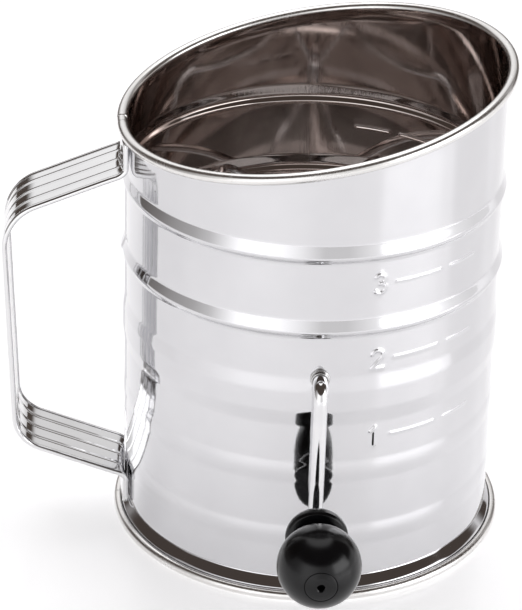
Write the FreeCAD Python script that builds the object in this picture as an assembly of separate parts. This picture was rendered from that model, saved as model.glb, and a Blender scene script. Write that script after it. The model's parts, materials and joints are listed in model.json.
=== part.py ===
import FreeCAD, Part
import os
from math import sin, cos, tan, radians, degrees, pi, sqrt, asin, atan

# Hand-cranked three-cup flour sifter. Millimetres, +Z up.
# Origin: on the can's axis, in the plane that the base bead stands on.
# -X is the handle side, -Y is the crank side.

# ---------------------------------------------------------------- driving sizes
CAN_R = 55.0            # outer radius of the can wall
WALL_T = 0.5            # sheet thickness
RIM_Z0 = 138.06         # height of the rim bead's centre plane on the axis
RIM_SLOPE = 0.170       # rim rise per mm towards +X
RIM_BEAD_R = 1.42       # radius of the curled rim
BASE_FLARE_Z = 6.7      # the wall flares outwards below this height
BASE_BEAD_R = 1.6       # radius of the curled base
BASE_BEAD_C = 57.1      # radius on which the base curl is centred
BASE_LAND = 0.10        # the curl is flattened by this much where it stands
DEEP_BEADS = (112.5, 89.2)      # heights of the two strong stiffening beads
DEEP_BEAD_H, DEEP_BEAD_D = 7.0, 1.2
SHALLOW_BEADS = (42.1, 20.6)
SHALLOW_BEAD_H, SHALLOW_BEAD_D = 6.5, 0.5
BAND_Z0, BAND_Z1, BAND_D = 60.7, 70.1, 0.5      # recess that holds the screen rim
SEAM_W, SEAM_T = 6.0, 0.7       # lock seam down the handle side

STRAP_W, STRAP_T = 24.0, 1.0    # handle strap
HEM_W, HEM_T = 1.5, 1.6         # folded edges of the strap
RIB_W, RIB_T = 1.8, 1.7         # three lengthwise ribs
FLANGE_R = CAN_R + SEAM_T + 0.05        # inner radius of the handle's flanges
FLANGE_T = 1.0
STRAP_PATH = [(-50.0, 118.0), (-90.7, 101.6), (-87.9, 27.4), (-50.0, 13.3)]     # centreline corners, x and z
STRAP_ARCS = [14.4, 11.0]       # bend radius on the centreline at each corner
TOP_FLANGE = (116.3, 126.4)     # z range of the upper flange
LOW_FLANGE = (5.2, 16.3)        # z range of the lower flange

AXLE_Z = 73.2           # height of the axle
WIRE_R = 2.1            # crank wire radius
ARM_Y = -61.5           # plane of the crank arm
ARM_LEN = 42.8          # axle to knob axis
ARM_BEND = 5.0          # bend radius on the wire's centreline
PIN_END_Y = -93.2       # outer end of the knob pin
AXLE_END_Y = 59.2       # rear end of the axle
CRANK_REST = 0.75       # degrees that the arm hangs towards -X

BUSH_BORE = 2.15        # running fit on the wire
BUSH_TUBE_R = 2.5
BUSH_HEAD_R = 2.85
BUSH_HEAD_T = 1.6
BUSH_TAIL_R = 3.6
BUSH_TAIL_T = 0.7

HUB_R, HUB_Y0, HUB_Y1 = 4.6, 45.4, 51.2
WASHER_R, WASHER_T = 4.4, 0.6
BOW_WIRE_R = 1.2
BOW_REACH = 35.2        # distance of a bow's long side from the axle
BOW_HALF = 40.0
BOW_CORNER = 14.0
BOW_ANGLES = (49.5, 139.5, 229.5, 319.5)        # from straight up towards -X

SCREEN_T = 0.8
SCREEN_R = 54.0         # outer radius of the screen's upright edge
SCREEN_Z = 32.0         # lowest point of the screen's upper surface
SCREEN_TOP = 67.6       # upper end of its upright edge

KNOB_C_Y, KNOB_R = -86.2, 12.0
KNOB_NECK_R = 4.6
KNOB_FLANGE_R = 9.0
KNOB_BORE = 2.18
KNOB_POCKET_R = 4.7
CAP_R = 4.6

V = FreeCAD.Vector
os.makedirs("parts", exist_ok=True)
OUT = {}


def revolve(points, axis_o, axis_d):
    """points: list of (r, z) or ('arc', mid, end) entries, closed automatically."""
    edges = []
    last = V(points[0][0], 0, points[0][1])
    first = last
    for p in points[1:]:
        if p[0] == 'arc':
            m = V(p[1][0], 0, p[1][1])
            e = V(p[2][0], 0, p[2][1])
            edges.append(Part.Arc(last, m, e).toShape())
            last = e
        else:
            e = V(p[0], 0, p[1])
            if (e - last).Length > 1e-7:
                edges.append(Part.makeLine(last, e))
            last = e
    if (last - first).Length > 1e-7:
        edges.append(Part.makeLine(last, first))
    face = Part.Face(Part.Wire(edges))
    s = face.revolve(axis_o, axis_d, 360)
    return s if s.Volume > 0 else s.reversed()


def revolve_z(points):
    return revolve(points, V(0, 0, 0), V(0, 0, 1))


def lathe_y(points, z, x=0.0):
    """points are (radius, y): a body turned about an axis along Y at (x, z)."""
    s = revolve_z([(p[0], p[1]) if p[0] != 'arc' else p for p in points])
    # local Z becomes +Y
    m = FreeCAD.Matrix()
    s = s.copy()
    s.rotate(V(0, 0, 0), V(1, 0, 0), -90)   # z -> +y
    s.translate(V(x, 0, z))
    return s


def fillet_path(pts, radii):
    """A polyline in space with its corners rounded: a wire of lines and tangent arcs."""
    edges = []
    cur = pts[0]
    for i in range(1, len(pts) - 1):
        a, b, c = pts[i - 1], pts[i], pts[i + 1]
        u = (a - b).normalize()
        w = (c - b).normalize()
        ang = u.getAngle(w)
        r = radii[i - 1]
        d = r / tan(ang / 2)
        p1 = b + u * d
        p2 = b + w * d
        bis = (u + w).normalize()
        centre = b + bis * (r / sin(ang / 2))
        mid = centre - bis * r
        if (p1 - cur).Length > 1e-6:
            edges.append(Part.makeLine(cur, p1))
        edges.append(Part.Arc(p1, mid, p2).toShape())
        cur = p2
    edges.append(Part.makeLine(cur, pts[-1]))
    return Part.Wire(edges)


def tube(path_wire, r):
    """A round wire along a path of lines and arcs, as one solid."""
    e0 = path_wire.OrderedEdges[0]
    p = e0.valueAt(e0.FirstParameter)
    t = e0.tangentAt(e0.FirstParameter)
    prof = Part.Wire([Part.makeCircle(r, p, t)])
    return path_wire.makePipeShell([prof], True, False)


def put(name, shape, refine=True):
    if refine:
        shape = shape.removeSplitter()
    if len(shape.Solids) == 1:
        shape = shape.Solids[0]
    if not shape.isValid():
        print("INVALID", name)
    OUT[name] = shape
    shape.exportStep("parts/%s.step" % name)
    bb = shape.BoundBox
    print("%-22s solids %d vol %8.1f  x %.2f..%.2f y %.2f..%.2f z %.2f..%.2f" % (
        name, len(shape.Solids), shape.Volume, bb.XMin, bb.XMax, bb.YMin, bb.YMax, bb.ZMin, bb.ZMax))


# ---------------------------------------------------------------- can body
ri = CAN_R - WALL_T


def wall_side(r, going_up):
    pts = []
    feats = []
    for z in SHALLOW_BEADS:
        feats.append((z - SHALLOW_BEAD_H / 2, z + SHALLOW_BEAD_H / 2, SHALLOW_BEAD_D, 'arc'))
    for z in DEEP_BEADS:
        feats.append((z - DEEP_BEAD_H / 2, z + DEEP_BEAD_H / 2, DEEP_BEAD_D, 'arc'))
    feats.append((BAND_Z0, BAND_Z1, BAND_D, 'flat'))
    feats.sort(reverse=not going_up)
    for lo, hi, d, kind in feats:
        a, b = (lo, hi) if going_up else (hi, lo)
        pts.append((r, a))
        if kind == 'arc':
            pts.append(('arc', (r + d, (a + b) / 2), (r, b)))
        else:
            s = 1.2 if going_up else -1.2
            pts.append((r + d, a + s))
            pts.append((r + d, b - s))
            pts.append((r, b))
    return pts


TOP = 160.0
zb = BASE_BEAD_R - BASE_LAND


def on_curl(deg):
    return (BASE_BEAD_C + BASE_BEAD_R * cos(radians(deg)), zb + BASE_BEAD_R * sin(radians(deg)))


# base curl, flattened where it stands, then the flare and the wall above it
la = degrees(asin(zb / BASE_BEAD_R))
prof = [on_curl(160), ('arc', on_curl((160 + 180 + la) / 2), on_curl(180 + la)), on_curl(-la),
        ('arc', on_curl((120 - la) / 2), on_curl(120)), (CAN_R, BASE_FLARE_Z)] + wall_side(CAN_R, True) + \
       [(CAN_R, TOP), (ri, TOP)] + wall_side(ri, False) + [(ri, BASE_FLARE_Z - 0.25)]
shell = revolve_z(prof)

# lock seam on the handle side: a folded strip standing proud of the wall
seam = Part.makeCylinder(CAN_R + SEAM_T, TOP - 7.4, V(0, 0, 7.4)).cut(
    Part.makeCylinder(CAN_R - 0.2, TOP - 7.4, V(0, 0, 7.4)))
seam = seam.common(Part.makeBox(8, SEAM_W, TOP, V(-60, -SEAM_W / 2, 0)))
seam = seam.cut(revolve_z([(0, 5), (ri + 0.1, 5)] + wall_side(ri + 0.1, True) + [(ri + 0.1, TOP), (0, TOP)]))
shell = shell.fuse(seam)

# the mouth is cut on a slant through the middle of the rim bead
slope = atan(RIM_SLOPE)
cutter = Part.makeBox(300, 300, 100, V(-150, -150, 0))
cutter.rotate(V(0, 0, 0), V(0, 1, 0), -degrees(slope))
cutter.translate(V(0, 0, RIM_Z0 + 0.45))
shell = shell.cut(cutter)

# rim curl: a round section carried round the slanted ellipse
rc = CAN_R + RIM_BEAD_R - 0.17
el = Part.Ellipse(V(0, 0, RIM_Z0), rc / cos(slope), rc)
e = el.toShape()
e.rotate(V(0, 0, RIM_Z0), V(0, 1, 0), -degrees(slope))
p = e.valueAt(e.FirstParameter)
t = e.tangentAt(e.FirstParameter)
rim = Part.Wire([e]).makePipeShell([Part.Wire([Part.makeCircle(RIM_BEAD_R + 0.15, p, t)])], True, False)

can = shell.fuse(rim)
# holes for the axle bushings
for y0 in (-62, 48):
    can = can.cut(Part.makeCylinder(BUSH_TUBE_R, 14, V(0, y0, AXLE_Z), V(0, 1, 0)))
put("can_body", can, refine=False)

# ---------------------------------------------------------------- handle strap
def offset_outline(half, outer_extra=0.0):
    """Closed face around the strap's centreline: -half inside, +half+outer_extra outside."""
    pts = [V(x, 0, z) for x, z in STRAP_PATH]

    def side(off):
        # shift each straight run along its normal and re-intersect the corners
        res = []
        lines = []
        for a, b in zip(pts[:-1], pts[1:]):
            d = (b - a).normalize()
            n = V(d.z, 0, -d.x)     # outward is away from the can
            lines.append((a + n * off, d))
        res.append(lines[0][0])
        for (p1, d1), (p2, d2) in zip(lines[:-1], lines[1:]):
            den = d1.x * d2.z - d1.z * d2.x
            s = ((p2.x - p1.x) * d2.z - (p2.z - p1.z) * d2.x) / den
            res.append(p1 + d1 * s)
        n = V(lines[-1][1].z, 0, -lines[-1][1].x)
        res.append(pts[-1] + n * off)
        return res

    def sgn():
        d = (pts[1] - pts[0]).normalize()
        n = V(d.z, 0, -d.x)
        # outward for the upper run means upwards
        return 1.0 if n.z > 0 else -1.0
    s = sgn()
    outer = fillet_path(side(s * (half + outer_extra)), [r + half + outer_extra for r in STRAP_ARCS])
    inner = fillet_path(side(-s * half), [r - half for r in STRAP_ARCS])
    oe, ie = outer.OrderedEdges, inner.OrderedEdges
    a0 = oe[0].valueAt(oe[0].FirstParameter)
    a1 = oe[-1].valueAt(oe[-1].LastParameter)
    b0 = ie[0].valueAt(ie[0].FirstParameter)
    b1 = ie[-1].valueAt(ie[-1].LastParameter)
    w = Part.Wire(Part.__sortEdges__(outer.Edges + inner.Edges + [Part.makeLine(a0, b0), Part.makeLine(a1, b1)]))
    return Part.Face(w)


def strap_run(half, extra, y0, y1):
    f = offset_outline(half, extra)
    f.translate(V(0, y0, 0))
    s = f.extrude(V(0, y1 - y0, 0))
    return s


strap = strap_run(STRAP_T / 2, 0.0, -STRAP_W / 2, STRAP_W / 2)
bits = []
for y0 in (-STRAP_W / 2, STRAP_W / 2 - HEM_W):
    bits.append(strap_run(HEM_T / 2, 0.0, y0, y0 + HEM_W))
for yc in (-6.0, 0.0, 6.0):
    bits.append(strap_run(STRAP_T / 2, RIB_T - STRAP_T, yc - RIB_W / 2, yc + RIB_W / 2))
strap = strap.fuse(bits)
strap = strap.cut(Part.makeCylinder(FLANGE_R, 200, V(0, 0, -20)))


def flange(z0, z1):
    a = Part.makeCylinder(FLANGE_R + FLANGE_T, z1 - z0, V(0, 0, z0)).cut(
        Part.makeCylinder(FLANGE_R, z1 - z0, V(0, 0, z0)))
    return a.common(Part.makeBox(20, STRAP_W, z1 - z0, V(-65, -STRAP_W / 2, z0)))


strap = strap.fuse([flange(*TOP_FLANGE), flange(*LOW_FLANGE)])
# the upper flange passes over the strong bead: relieve it there
relief = revolve_z([(CAN_R - 1, DEEP_BEADS[0] - DEEP_BEAD_H / 2 - 0.1),
                    ('arc', (CAN_R + DEEP_BEAD_D + 0.12, DEEP_BEADS[0]), (CAN_R - 1, DEEP_BEADS[0] + DEEP_BEAD_H / 2 + 0.1))])
strap = strap.cut(relief)
put("handle_strap", strap)

# ---------------------------------------------------------------- screen and its ring
r1 = 140.0
a1 = asin(38.0 / r1)
z1 = SCREEN_Z + r1 * (1 - cos(a1))
ro = SCREEN_R - SCREEN_T        # inner (upper) surface radius at the upright edge
r2 = (ro - 38.0) / (1 - sin(a1))
cz = z1 + r2 * cos(a1)
cx = ro - r2


def bowl(off):
    """profile of the dished screen, moved by off along its normal (down and out)"""
    q1 = (38.0 + off * sin(a1), z1 - off * cos(a1))
    m1 = ((r1 + off) * sin(a1 / 2), SCREEN_Z + r1 - (r1 + off) * cos(a1 / 2))
    am = (a1 + pi / 2) / 2
    m2 = (cx + (r2 + off) * sin(am), cz - (r2 + off) * cos(am))
    e2 = (cx + r2 + off, cz)
    return q1, m1, m2, e2


q1, m1, m2, e2 = bowl(0.0)
Q1, M1, M2, E2 = bowl(SCREEN_T)
pts = [(0, SCREEN_Z - SCREEN_T), ('arc', M1, Q1), ('arc', M2, E2), (SCREEN_R, SCREEN_TOP), (ro, SCREEN_TOP), e2,
       ('arc', m2, q1), ('arc', m1, (0, SCREEN_Z))]
put("sieve_screen", revolve_z(pts))

# binding ring: a folded channel over the screen's edge, seated in the wall's recess
seat = CAN_R - WALL_T + BAND_D - 0.05
ring = revolve_z([(ro - 0.55, BAND_Z0 + 0.5), (ro - 0.04, BAND_Z0 + 0.5), (ro - 0.04, SCREEN_TOP + 0.05),
                  (SCREEN_R + 0.04, SCREEN_TOP + 0.05), (SCREEN_R + 0.04, BAND_Z0 + 1.4), (seat, BAND_Z0 + 1.4),
                  (seat, SCREEN_TOP + 0.3), (seat - 0.3, SCREEN_TOP + 0.6), (ro - 0.3, SCREEN_TOP + 0.6),
                  (ro - 0.55, SCREEN_TOP + 0.35)])
put("screen_ring", ring)

# ---------------------------------------------------------------- bushings in the wall
def bushing(sign):
    y_wall = CAN_R + 0.02
    y_in = sqrt((CAN_R - WALL_T) ** 2 - BUSH_TAIL_R ** 2) - 0.02
    pts = [(BUSH_BORE, y_in - BUSH_TAIL_T), (BUSH_TAIL_R, y_in - BUSH_TAIL_T), (BUSH_TAIL_R, y_in),
           (BUSH_TUBE_R - 0.02, y_in), (BUSH_TUBE_R - 0.02, y_wall), (BUSH_HEAD_R, y_wall),
           ('arc', (BUSH_HEAD_R - 0.15, y_wall + BUSH_HEAD_T * 0.7), (BUSH_HEAD_R - 0.5, y_wall + BUSH_HEAD_T)),
           (BUSH_BORE, y_wall + BUSH_HEAD_T)]
    s = revolve_z(pts)
    s.rotate(V(0, 0, 0), V(1, 0, 0), 90 if sign < 0 else -90)
    s.translate(V(0, 0, AXLE_Z))
    return s


put("front_bushing", bushing(-1))
put("rear_bushing", bushing(1))

# ---------------------------------------------------------------- crank (moves)
AX0 = V(0, 0, AXLE_Z)


def hang(s):
    """turn a piece of the crank about the axle to the angle it hangs at"""
    s = s.copy()
    s.rotate(AX0, V(0, 1, 0), CRANK_REST)
    return s


wire_path = fillet_path([V(0, AXLE_END_Y, AXLE_Z), V(0, ARM_Y, AXLE_Z), V(0, ARM_Y, AXLE_Z - ARM_LEN),
                         V(0, PIN_END_Y, AXLE_Z - ARM_LEN)], [ARM_BEND - 0.6, ARM_BEND])
crank = tube(wire_path, WIRE_R)
put("crank_wire", hang(crank))

y_in = sqrt((CAN_R - WALL_T) ** 2 - BUSH_TAIL_R ** 2) - 0.02 - BUSH_TAIL_T
for nm, s in (("front", -1), ("rear", 1)):
    # thrust washer against the bushing
    y0 = y_in - 0.15 - WASHER_T
    w = lathe_y([(WIRE_R + 0.02, y0), (WASHER_R, y0), (WASHER_R, y0 + WASHER_T), (WIRE_R + 0.02, y0 + WASHER_T)], AXLE_Z)
    hub = lathe_y([(WIRE_R + 0.01, HUB_Y0), (HUB_R - 0.6, HUB_Y0), (HUB_R, HUB_Y0 + 0.6), (HUB_R, HUB_Y1 - 0.6),
                   (HUB_R - 0.6, HUB_Y1), (WIRE_R + 0.01, HUB_Y1)], AXLE_Z)
    if s < 0:
        w.rotate(AX0, V(0, 0, 1), 180)
        hub.rotate(AX0, V(0, 0, 1), 180)
    # sockets for the bow ends
    for a in BOW_ANGLES:
        c = Part.makeCylinder(BOW_WIRE_R + 0.02, 6, V(0, s * 48.3, AXLE_Z + WIRE_R + 0.6), V(0, 0, 1))
        c.rotate(AX0, V(0, 1, 0), -a)
        hub = hub.cut(c)
    put("%s_washer" % nm, hang(w))
    put("agitator_hub_%s" % nm, hang(hub))

names = ("agitator_bow_1", "agitator_bow_2", "agitator_bow_3", "agitator_bow_4")
for nm, a in zip(names, BOW_ANGLES):
    ze = WIRE_R + 0.7
    pth = fillet_path([V(0, -48.3, AXLE_Z + ze), V(0, -48.3, AXLE_Z + 9), V(0, -BOW_HALF, AXLE_Z + BOW_REACH), V(0, BOW_HALF, AXLE_Z + BOW_REACH),
                       V(0, 48.3, AXLE_Z + 9), V(0, 48.3, AXLE_Z + ze)],
                      [12.0, BOW_CORNER, BOW_CORNER, 12.0])
    b = tube(pth, BOW_WIRE_R)
    b.rotate(AX0, V(0, 1, 0), -a)
    put(nm, hang(b))

# push nut on the rear end of the axle
y0 = CAN_R + 0.02 + BUSH_HEAD_T + 0.25
nut = lathe_y([(WIRE_R + 0.01, y0), (4.6, y0), (4.6, y0 + 0.7), (3.4, y0 + 1.5), (WIRE_R + 0.01, y0 + 1.5)], AXLE_Z)
put("axle_push_nut", hang(nut))

# push nut on the end of the knob pin
KZ = AXLE_Z - ARM_LEN
y0 = 91.3
nut = lathe_y([(WIRE_R + 0.01, y0), (4.1, y0), (4.1, y0 + 0.6), (3.0, y0 + 1.3), (WIRE_R + 0.01, y0 + 1.3)], KZ)
nut.rotate(V(0, 0, KZ), V(0, 0, 1), 180)
put("knob_push_nut", hang(nut))

# ---------------------------------------------------------------- knob (turns on the pin)
c, R = -KNOB_C_Y, KNOB_R
yb = c - sqrt(R * R - KNOB_NECK_R ** 2)
pk0 = 90.9
pf = c + sqrt(R * R - KNOB_POCKET_R ** 2)
knob = lathe_y([(KNOB_BORE, 68.4), (7.4, 68.4), ('arc', (8.5, 69.0), (KNOB_FLANGE_R, 70.6)), (KNOB_FLANGE_R, 71.6),
                ('arc', (8.4, 72.5), (7.4, 72.8)), (KNOB_NECK_R + 0.6, 73.2), (KNOB_NECK_R, 74.0), (KNOB_NECK_R, yb),
                ('arc', (R, c), (KNOB_POCKET_R, pf)), (KNOB_POCKET_R, pk0), (KNOB_BORE, pk0)], KZ)
knob.rotate(V(0, 0, KZ), V(0, 0, 1), 180)
put("knob_body", hang(knob))
cap = lathe_y([(1.0, 94.2), (CAP_R, 94.2), (CAP_R, pf - 0.25), ('arc', (3.2, c + sqrt(R * R - 3.2 ** 2) - 0.12), (1.0, c + R - 0.15))], KZ)
cap.rotate(V(0, 0, KZ), V(0, 0, 1), 180)
put("knob_cap", hang(cap))
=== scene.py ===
import bpy
import json
import math
import numpy as np
from math import sin, cos, tan, pi, radians, sqrt, atan2, hypot, asin
from mathutils import Matrix, Vector


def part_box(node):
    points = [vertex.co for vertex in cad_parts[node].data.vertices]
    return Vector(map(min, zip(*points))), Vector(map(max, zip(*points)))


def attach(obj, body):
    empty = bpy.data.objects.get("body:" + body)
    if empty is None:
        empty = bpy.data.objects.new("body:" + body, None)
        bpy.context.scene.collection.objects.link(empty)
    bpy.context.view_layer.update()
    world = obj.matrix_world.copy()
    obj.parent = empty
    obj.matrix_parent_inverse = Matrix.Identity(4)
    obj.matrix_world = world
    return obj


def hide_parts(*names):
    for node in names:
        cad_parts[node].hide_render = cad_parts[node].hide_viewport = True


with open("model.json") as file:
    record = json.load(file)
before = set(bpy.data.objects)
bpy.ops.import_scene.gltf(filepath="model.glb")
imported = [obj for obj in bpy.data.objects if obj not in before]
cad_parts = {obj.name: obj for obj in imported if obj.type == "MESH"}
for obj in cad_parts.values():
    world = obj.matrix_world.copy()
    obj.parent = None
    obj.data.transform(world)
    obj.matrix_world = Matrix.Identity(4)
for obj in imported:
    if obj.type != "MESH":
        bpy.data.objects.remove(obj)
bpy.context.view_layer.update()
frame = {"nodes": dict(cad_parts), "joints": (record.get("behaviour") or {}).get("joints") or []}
JOINT = {j["name"]: j for j in frame["joints"]}
MM = 0.001

# ------------------------------------------------------------------ sizes, millimetres, read from the frame
AX = [1000 * v for v in JOINT["crank_spin"]["pos_m"]]       # a point on the axle
KN = [1000 * v for v in JOINT["knob_spin"]["pos_m"]]        # a point on the knob's axis
AXLE_Z = AX[2]
HANG = atan2(AX[0] - KN[0], AX[2] - KN[2])                  # how far the arm hangs from straight down
ARM_LEN = hypot(AX[0] - KN[0], AX[2] - KN[2])


def cad_box(n):
    lo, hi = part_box(n)
    return [1000 * v for v in lo], [1000 * v for v in hi]


CAN_LO, CAN_HI = cad_box("can_body")
STRAP_LO, STRAP_HI = cad_box("handle_strap")
KNOB_LO, KNOB_HI = cad_box("knob_body")
WIRE_LO, WIRE_HI = cad_box("crank_wire")
RING_LO, RING_HI = cad_box("screen_ring")
SCREEN_LO, SCREEN_HI = cad_box("sieve_screen")

# the same driving sizes as the solids
CAN_R, WALL_T = 55.0, 0.5
RIM_Z0, RIM_SLOPE = 138.06, 0.170
RIM_C, RIM_R = 56.22, 1.57
BASE_C, BASE_R, BASE_Z = CAN_HI[1] - 1.6, 1.6, 1.5
DEEP, DEEP_H, DEEP_D = (112.5, 89.2), 7.0, 1.2
SHALLOW, SHALLOW_H, SHALLOW_D = (42.1, 20.6), 6.5, 0.19
BAND0, BAND1, BAND_D = 60.7, 70.1, 0.5
WIRE_R = 2.1


# ------------------------------------------------------------------ mesh helpers
def signed_volume(V, F):
    a, b, c = V[F[:, 0]], V[F[:, 1]], V[F[:, 2]]
    v = np.einsum("ij,ij->i", a, np.cross(b, c)).sum()
    if F.shape[1] == 4:
        d = V[F[:, 3]]
        v += np.einsum("ij,ij->i", a, np.cross(c, d)).sum()
    return v / 6.0


def build(name, V, faces, body, mats, replaces=(), sharp=35.0, flip=None, which=None):
    """V in millimetres, faces a list of index arrays (quads or triangles), all of one closed piece."""
    V = np.asarray(V, float)
    faces = [np.asarray(f, int) for f in faces if len(f)]
    if flip is None:
        flip = sum(signed_volume(V, f) for f in faces) < 0
    if flip:
        faces = [f[:, ::-1] for f in faces]
    me = bpy.data.meshes.new(name)
    loops = np.concatenate([f.ravel() for f in faces])
    counts = np.concatenate([np.full(len(f), f.shape[1]) for f in faces])
    starts = np.concatenate([[0], np.cumsum(counts)[:-1]])
    me.vertices.add(len(V))
    me.vertices.foreach_set("co", (V * MM).astype(np.float32).ravel())
    me.loops.add(len(loops))
    me.loops.foreach_set("vertex_index", loops.astype(np.int32))
    me.polygons.add(len(counts))
    me.polygons.foreach_set("loop_start", starts.astype(np.int32))
    me.polygons.foreach_set("use_smooth", np.ones(len(counts), bool))
    if which is not None:
        me.polygons.foreach_set("material_index", which.astype(np.int32))
    me.update(calc_edges=True)
    me.validate()
    if sharp is not None:
        me.set_sharp_from_angle(angle=radians(sharp))
    ob = bpy.data.objects.new(name, me)
    bpy.context.scene.collection.objects.link(ob)
    for m in (mats if isinstance(mats, (list, tuple)) else [mats]):
        me.materials.append(m)
    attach(ob, body)
    if replaces:
        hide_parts(*replaces)
    return ob


def grid_faces(nu, nv, close_u, close_v, base=0):
    """quads of a grid whose vertex (i, j) is base + i * nv + j"""
    iu = np.arange(nu if close_u else nu - 1)
    iv = np.arange(nv if close_v else nv - 1)
    I, J = np.meshgrid(iu, iv, indexing="ij")
    I2, J2 = (I + 1) % nu, (J + 1) % nv
    return np.stack([base + I * nv + J, base + I2 * nv + J, base + I2 * nv + J2, base + I * nv + J2], -1).reshape(-1, 4)


def fillet2(points, closed=True, n=5):
    """points (a, b, radius): a polyline in the plane with its corners rounded"""
    out = []
    m = len(points)
    for i in range(m):
        p = np.array(points[i][:2], float)
        r = points[i][2] if len(points[i]) > 2 else 0.0
        if (not closed and i in (0, m - 1)) or r <= 0:
            out.append(p)
            continue
        a = np.array(points[i - 1][:2], float)
        c = np.array(points[(i + 1) % m][:2], float)
        u, w = (a - p), (c - p)
        lu, lw = np.linalg.norm(u), np.linalg.norm(w)
        u, w = u / lu, w / lw
        ang = math.acos(max(-1, min(1, float(u @ w))))
        if ang > pi - 0.02:
            out.append(p)
            continue
        d = min(r / tan(ang / 2), 0.48 * lu, 0.48 * lw)
        rr = d * tan(ang / 2)
        bis = (u + w) / np.linalg.norm(u + w)
        cen = p + bis * rr / sin(ang / 2)
        q0, q1 = p + u * d - cen, p + w * d - cen
        a0, a1 = atan2(q0[1], q0[0]), atan2(q1[1], q1[0])
        da = (a1 - a0 + pi) % (2 * pi) - pi
        for k in range(n + 1):
            t = a0 + da * k / n
            out.append(cen + rr * np.array([cos(t), sin(t)]))
    return np.array(out)


def densify(loop, step, closed=True):
    """adds points on long straight runs"""
    out = []
    m = len(loop)
    for i in range(m if closed else m - 1):
        a, b = loop[i], loop[(i + 1) % m]
        k = max(1, int(math.ceil(np.linalg.norm(b - a) / step)))
        for t in range(k):
            out.append(a + (b - a) * t / k)
    if not closed:
        out.append(loop[-1])
    return np.array(out)


def lathe(name, loop, n, place, body, mats, replaces=(), sharp=35.0, radial=None):
    """loop: closed (r, h) points; place(r, angle, h) -> xyz arrays"""
    th = np.linspace(0, 2 * pi, n, endpoint=False)
    R = loop[:, 0][None, :] * np.ones((n, 1))
    H = loop[:, 1][None, :] * np.ones((n, 1))
    T = th[:, None] * np.ones((1, len(loop)))
    if radial is not None:
        R, H = radial(R, H, T)
    V = place(R, T, H).reshape(-1, 3)
    return build(name, V, [grid_faces(n, len(loop), True, True)], body, mats, replaces, sharp)


def about_z(R, T, H):
    return np.stack([R * np.cos(T), R * np.sin(T), H], -1)


def about_y(cx, cz, sign):
    def f(R, T, H):
        return np.stack([cx + R * np.cos(T), sign * H, cz + R * np.sin(T)], -1)
    return f


def tube(name, pts, rad, body, mats, replaces=(), n=28, ends=0.35, sharp=50.0):
    """a round wire through pts (mm), with chamfered ends"""
    P = np.asarray(pts, float)
    T = np.gradient(P, axis=0)
    T /= np.linalg.norm(T, axis=1)[:, None]
    N = np.zeros_like(P)
    ref = np.array([1.0, 0, 0]) if abs(T[0][0]) < 0.9 else np.array([0, 0, 1.0])
    v = ref - T[0] * (ref @ T[0])
    N[0] = v / np.linalg.norm(v)
    for i in range(1, len(P)):
        v = N[i - 1] - T[i] * (N[i - 1] @ T[i])
        N[i] = v / np.linalg.norm(v)
    B = np.cross(T, N)
    ph = np.linspace(0, 2 * pi, n, endpoint=False)
    rings = []

    def ring(p, t, a, b, r):
        return p + r * (np.cos(ph)[:, None] * a + np.sin(ph)[:, None] * b)
    c = ends
    for k, (sc, back) in enumerate(((0.35, 0.0), (1 - 1.0 * c / rad, 0.0), (1 - 0.45 * c / rad, 0.18 * c), (1 - 0.1 * c / rad, 0.55 * c))):
        rings.append(ring(P[0] + T[0] * back, T[0], N[0], B[0], rad * sc))
    for i in range(len(P)):
        p = P[i]
        if i == 0:
            p = P[0] + T[0] * c
        if i == len(P) - 1:
            p = P[-1] - T[-1] * c
        rings.append(ring(p, T[i], N[i], B[i], rad if np.isscalar(rad) else rad[i]))
    for k, (sc, back) in enumerate(((1 - 0.1 * c / rad, 0.55 * c), (1 - 0.45 * c / rad, 0.18 * c), (1 - 1.0 * c / rad, 0.0), (0.35, 0.0))):
        rings.append(ring(P[-1] - T[-1] * back, T[-1], N[-1], B[-1], rad * sc))
    m = len(rings)
    V = np.concatenate(rings + [[P[0]], [P[-1]]])
    F = grid_faces(m, n, False, True)
    j = np.arange(n)
    j2 = (j + 1) % n
    c0 = np.stack([np.full(n, m * n), j, j2], -1)
    c1 = np.stack([np.full(n, m * n + 1), (m - 1) * n + j2, (m - 1) * n + j], -1)
    return build(name, V, [F, c0, c1], body, mats, replaces, sharp)


def path3(points, radii, step=1.2, arc=14):
    """corner points in space, rounded, sampled along"""
    P = [np.array(p, float) for p in points]
    out = [P[0]]
    for i in range(1, len(P) - 1):
        u, w = P[i - 1] - P[i], P[i + 1] - P[i]
        u /= np.linalg.norm(u)
        w /= np.linalg.norm(w)
        ang = math.acos(max(-1, min(1, float(u @ w))))
        r = radii[i - 1]
        d = r / tan(ang / 2)
        bis = (u + w) / np.linalg.norm(u + w)
        cen = P[i] + bis * r / sin(ang / 2)
        q0, q1 = P[i] + u * d - cen, P[i] + w * d - cen
        full = math.acos(max(-1, min(1, float(q0 @ q1) / r / r)))
        seg = []
        for k in range(arc + 1):
            t = k / arc
            seg.append(cen + (q0 * sin((1 - t) * full) + q1 * sin(t * full)) / sin(full))
        a = out[-1]
        L = np.linalg.norm(seg[0] - a)
        k = max(1, int(L / step))
        for q in range(1, k):
            out.append(a + (seg[0] - a) * q / k)
        out += seg
    a = out[-1]
    L = np.linalg.norm(P[-1] - a)
    k = max(1, int(L / step))
    for q in range(1, k + 1):
        out.append(a + (P[-1] - a) * q / k)
    return np.array(out)


def turn_y(P, angle, cx=0.0, cz=None):
    """turned about +Y by angle at the axle"""
    P = np.asarray(P, float).copy()
    x, z = P[:, 0] - cx, P[:, 2] - (AXLE_Z if cz is None else cz)
    P[:, 0] = cx + x * cos(angle) + z * sin(angle)
    P[:, 2] = (AXLE_Z if cz is None else cz) - x * sin(angle) + z * cos(angle)
    return P


def sstep(a, b, x):
    t = np.clip((x - a) / (b - a), 0, 1)
    return t * t * (3 - 2 * t)


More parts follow.
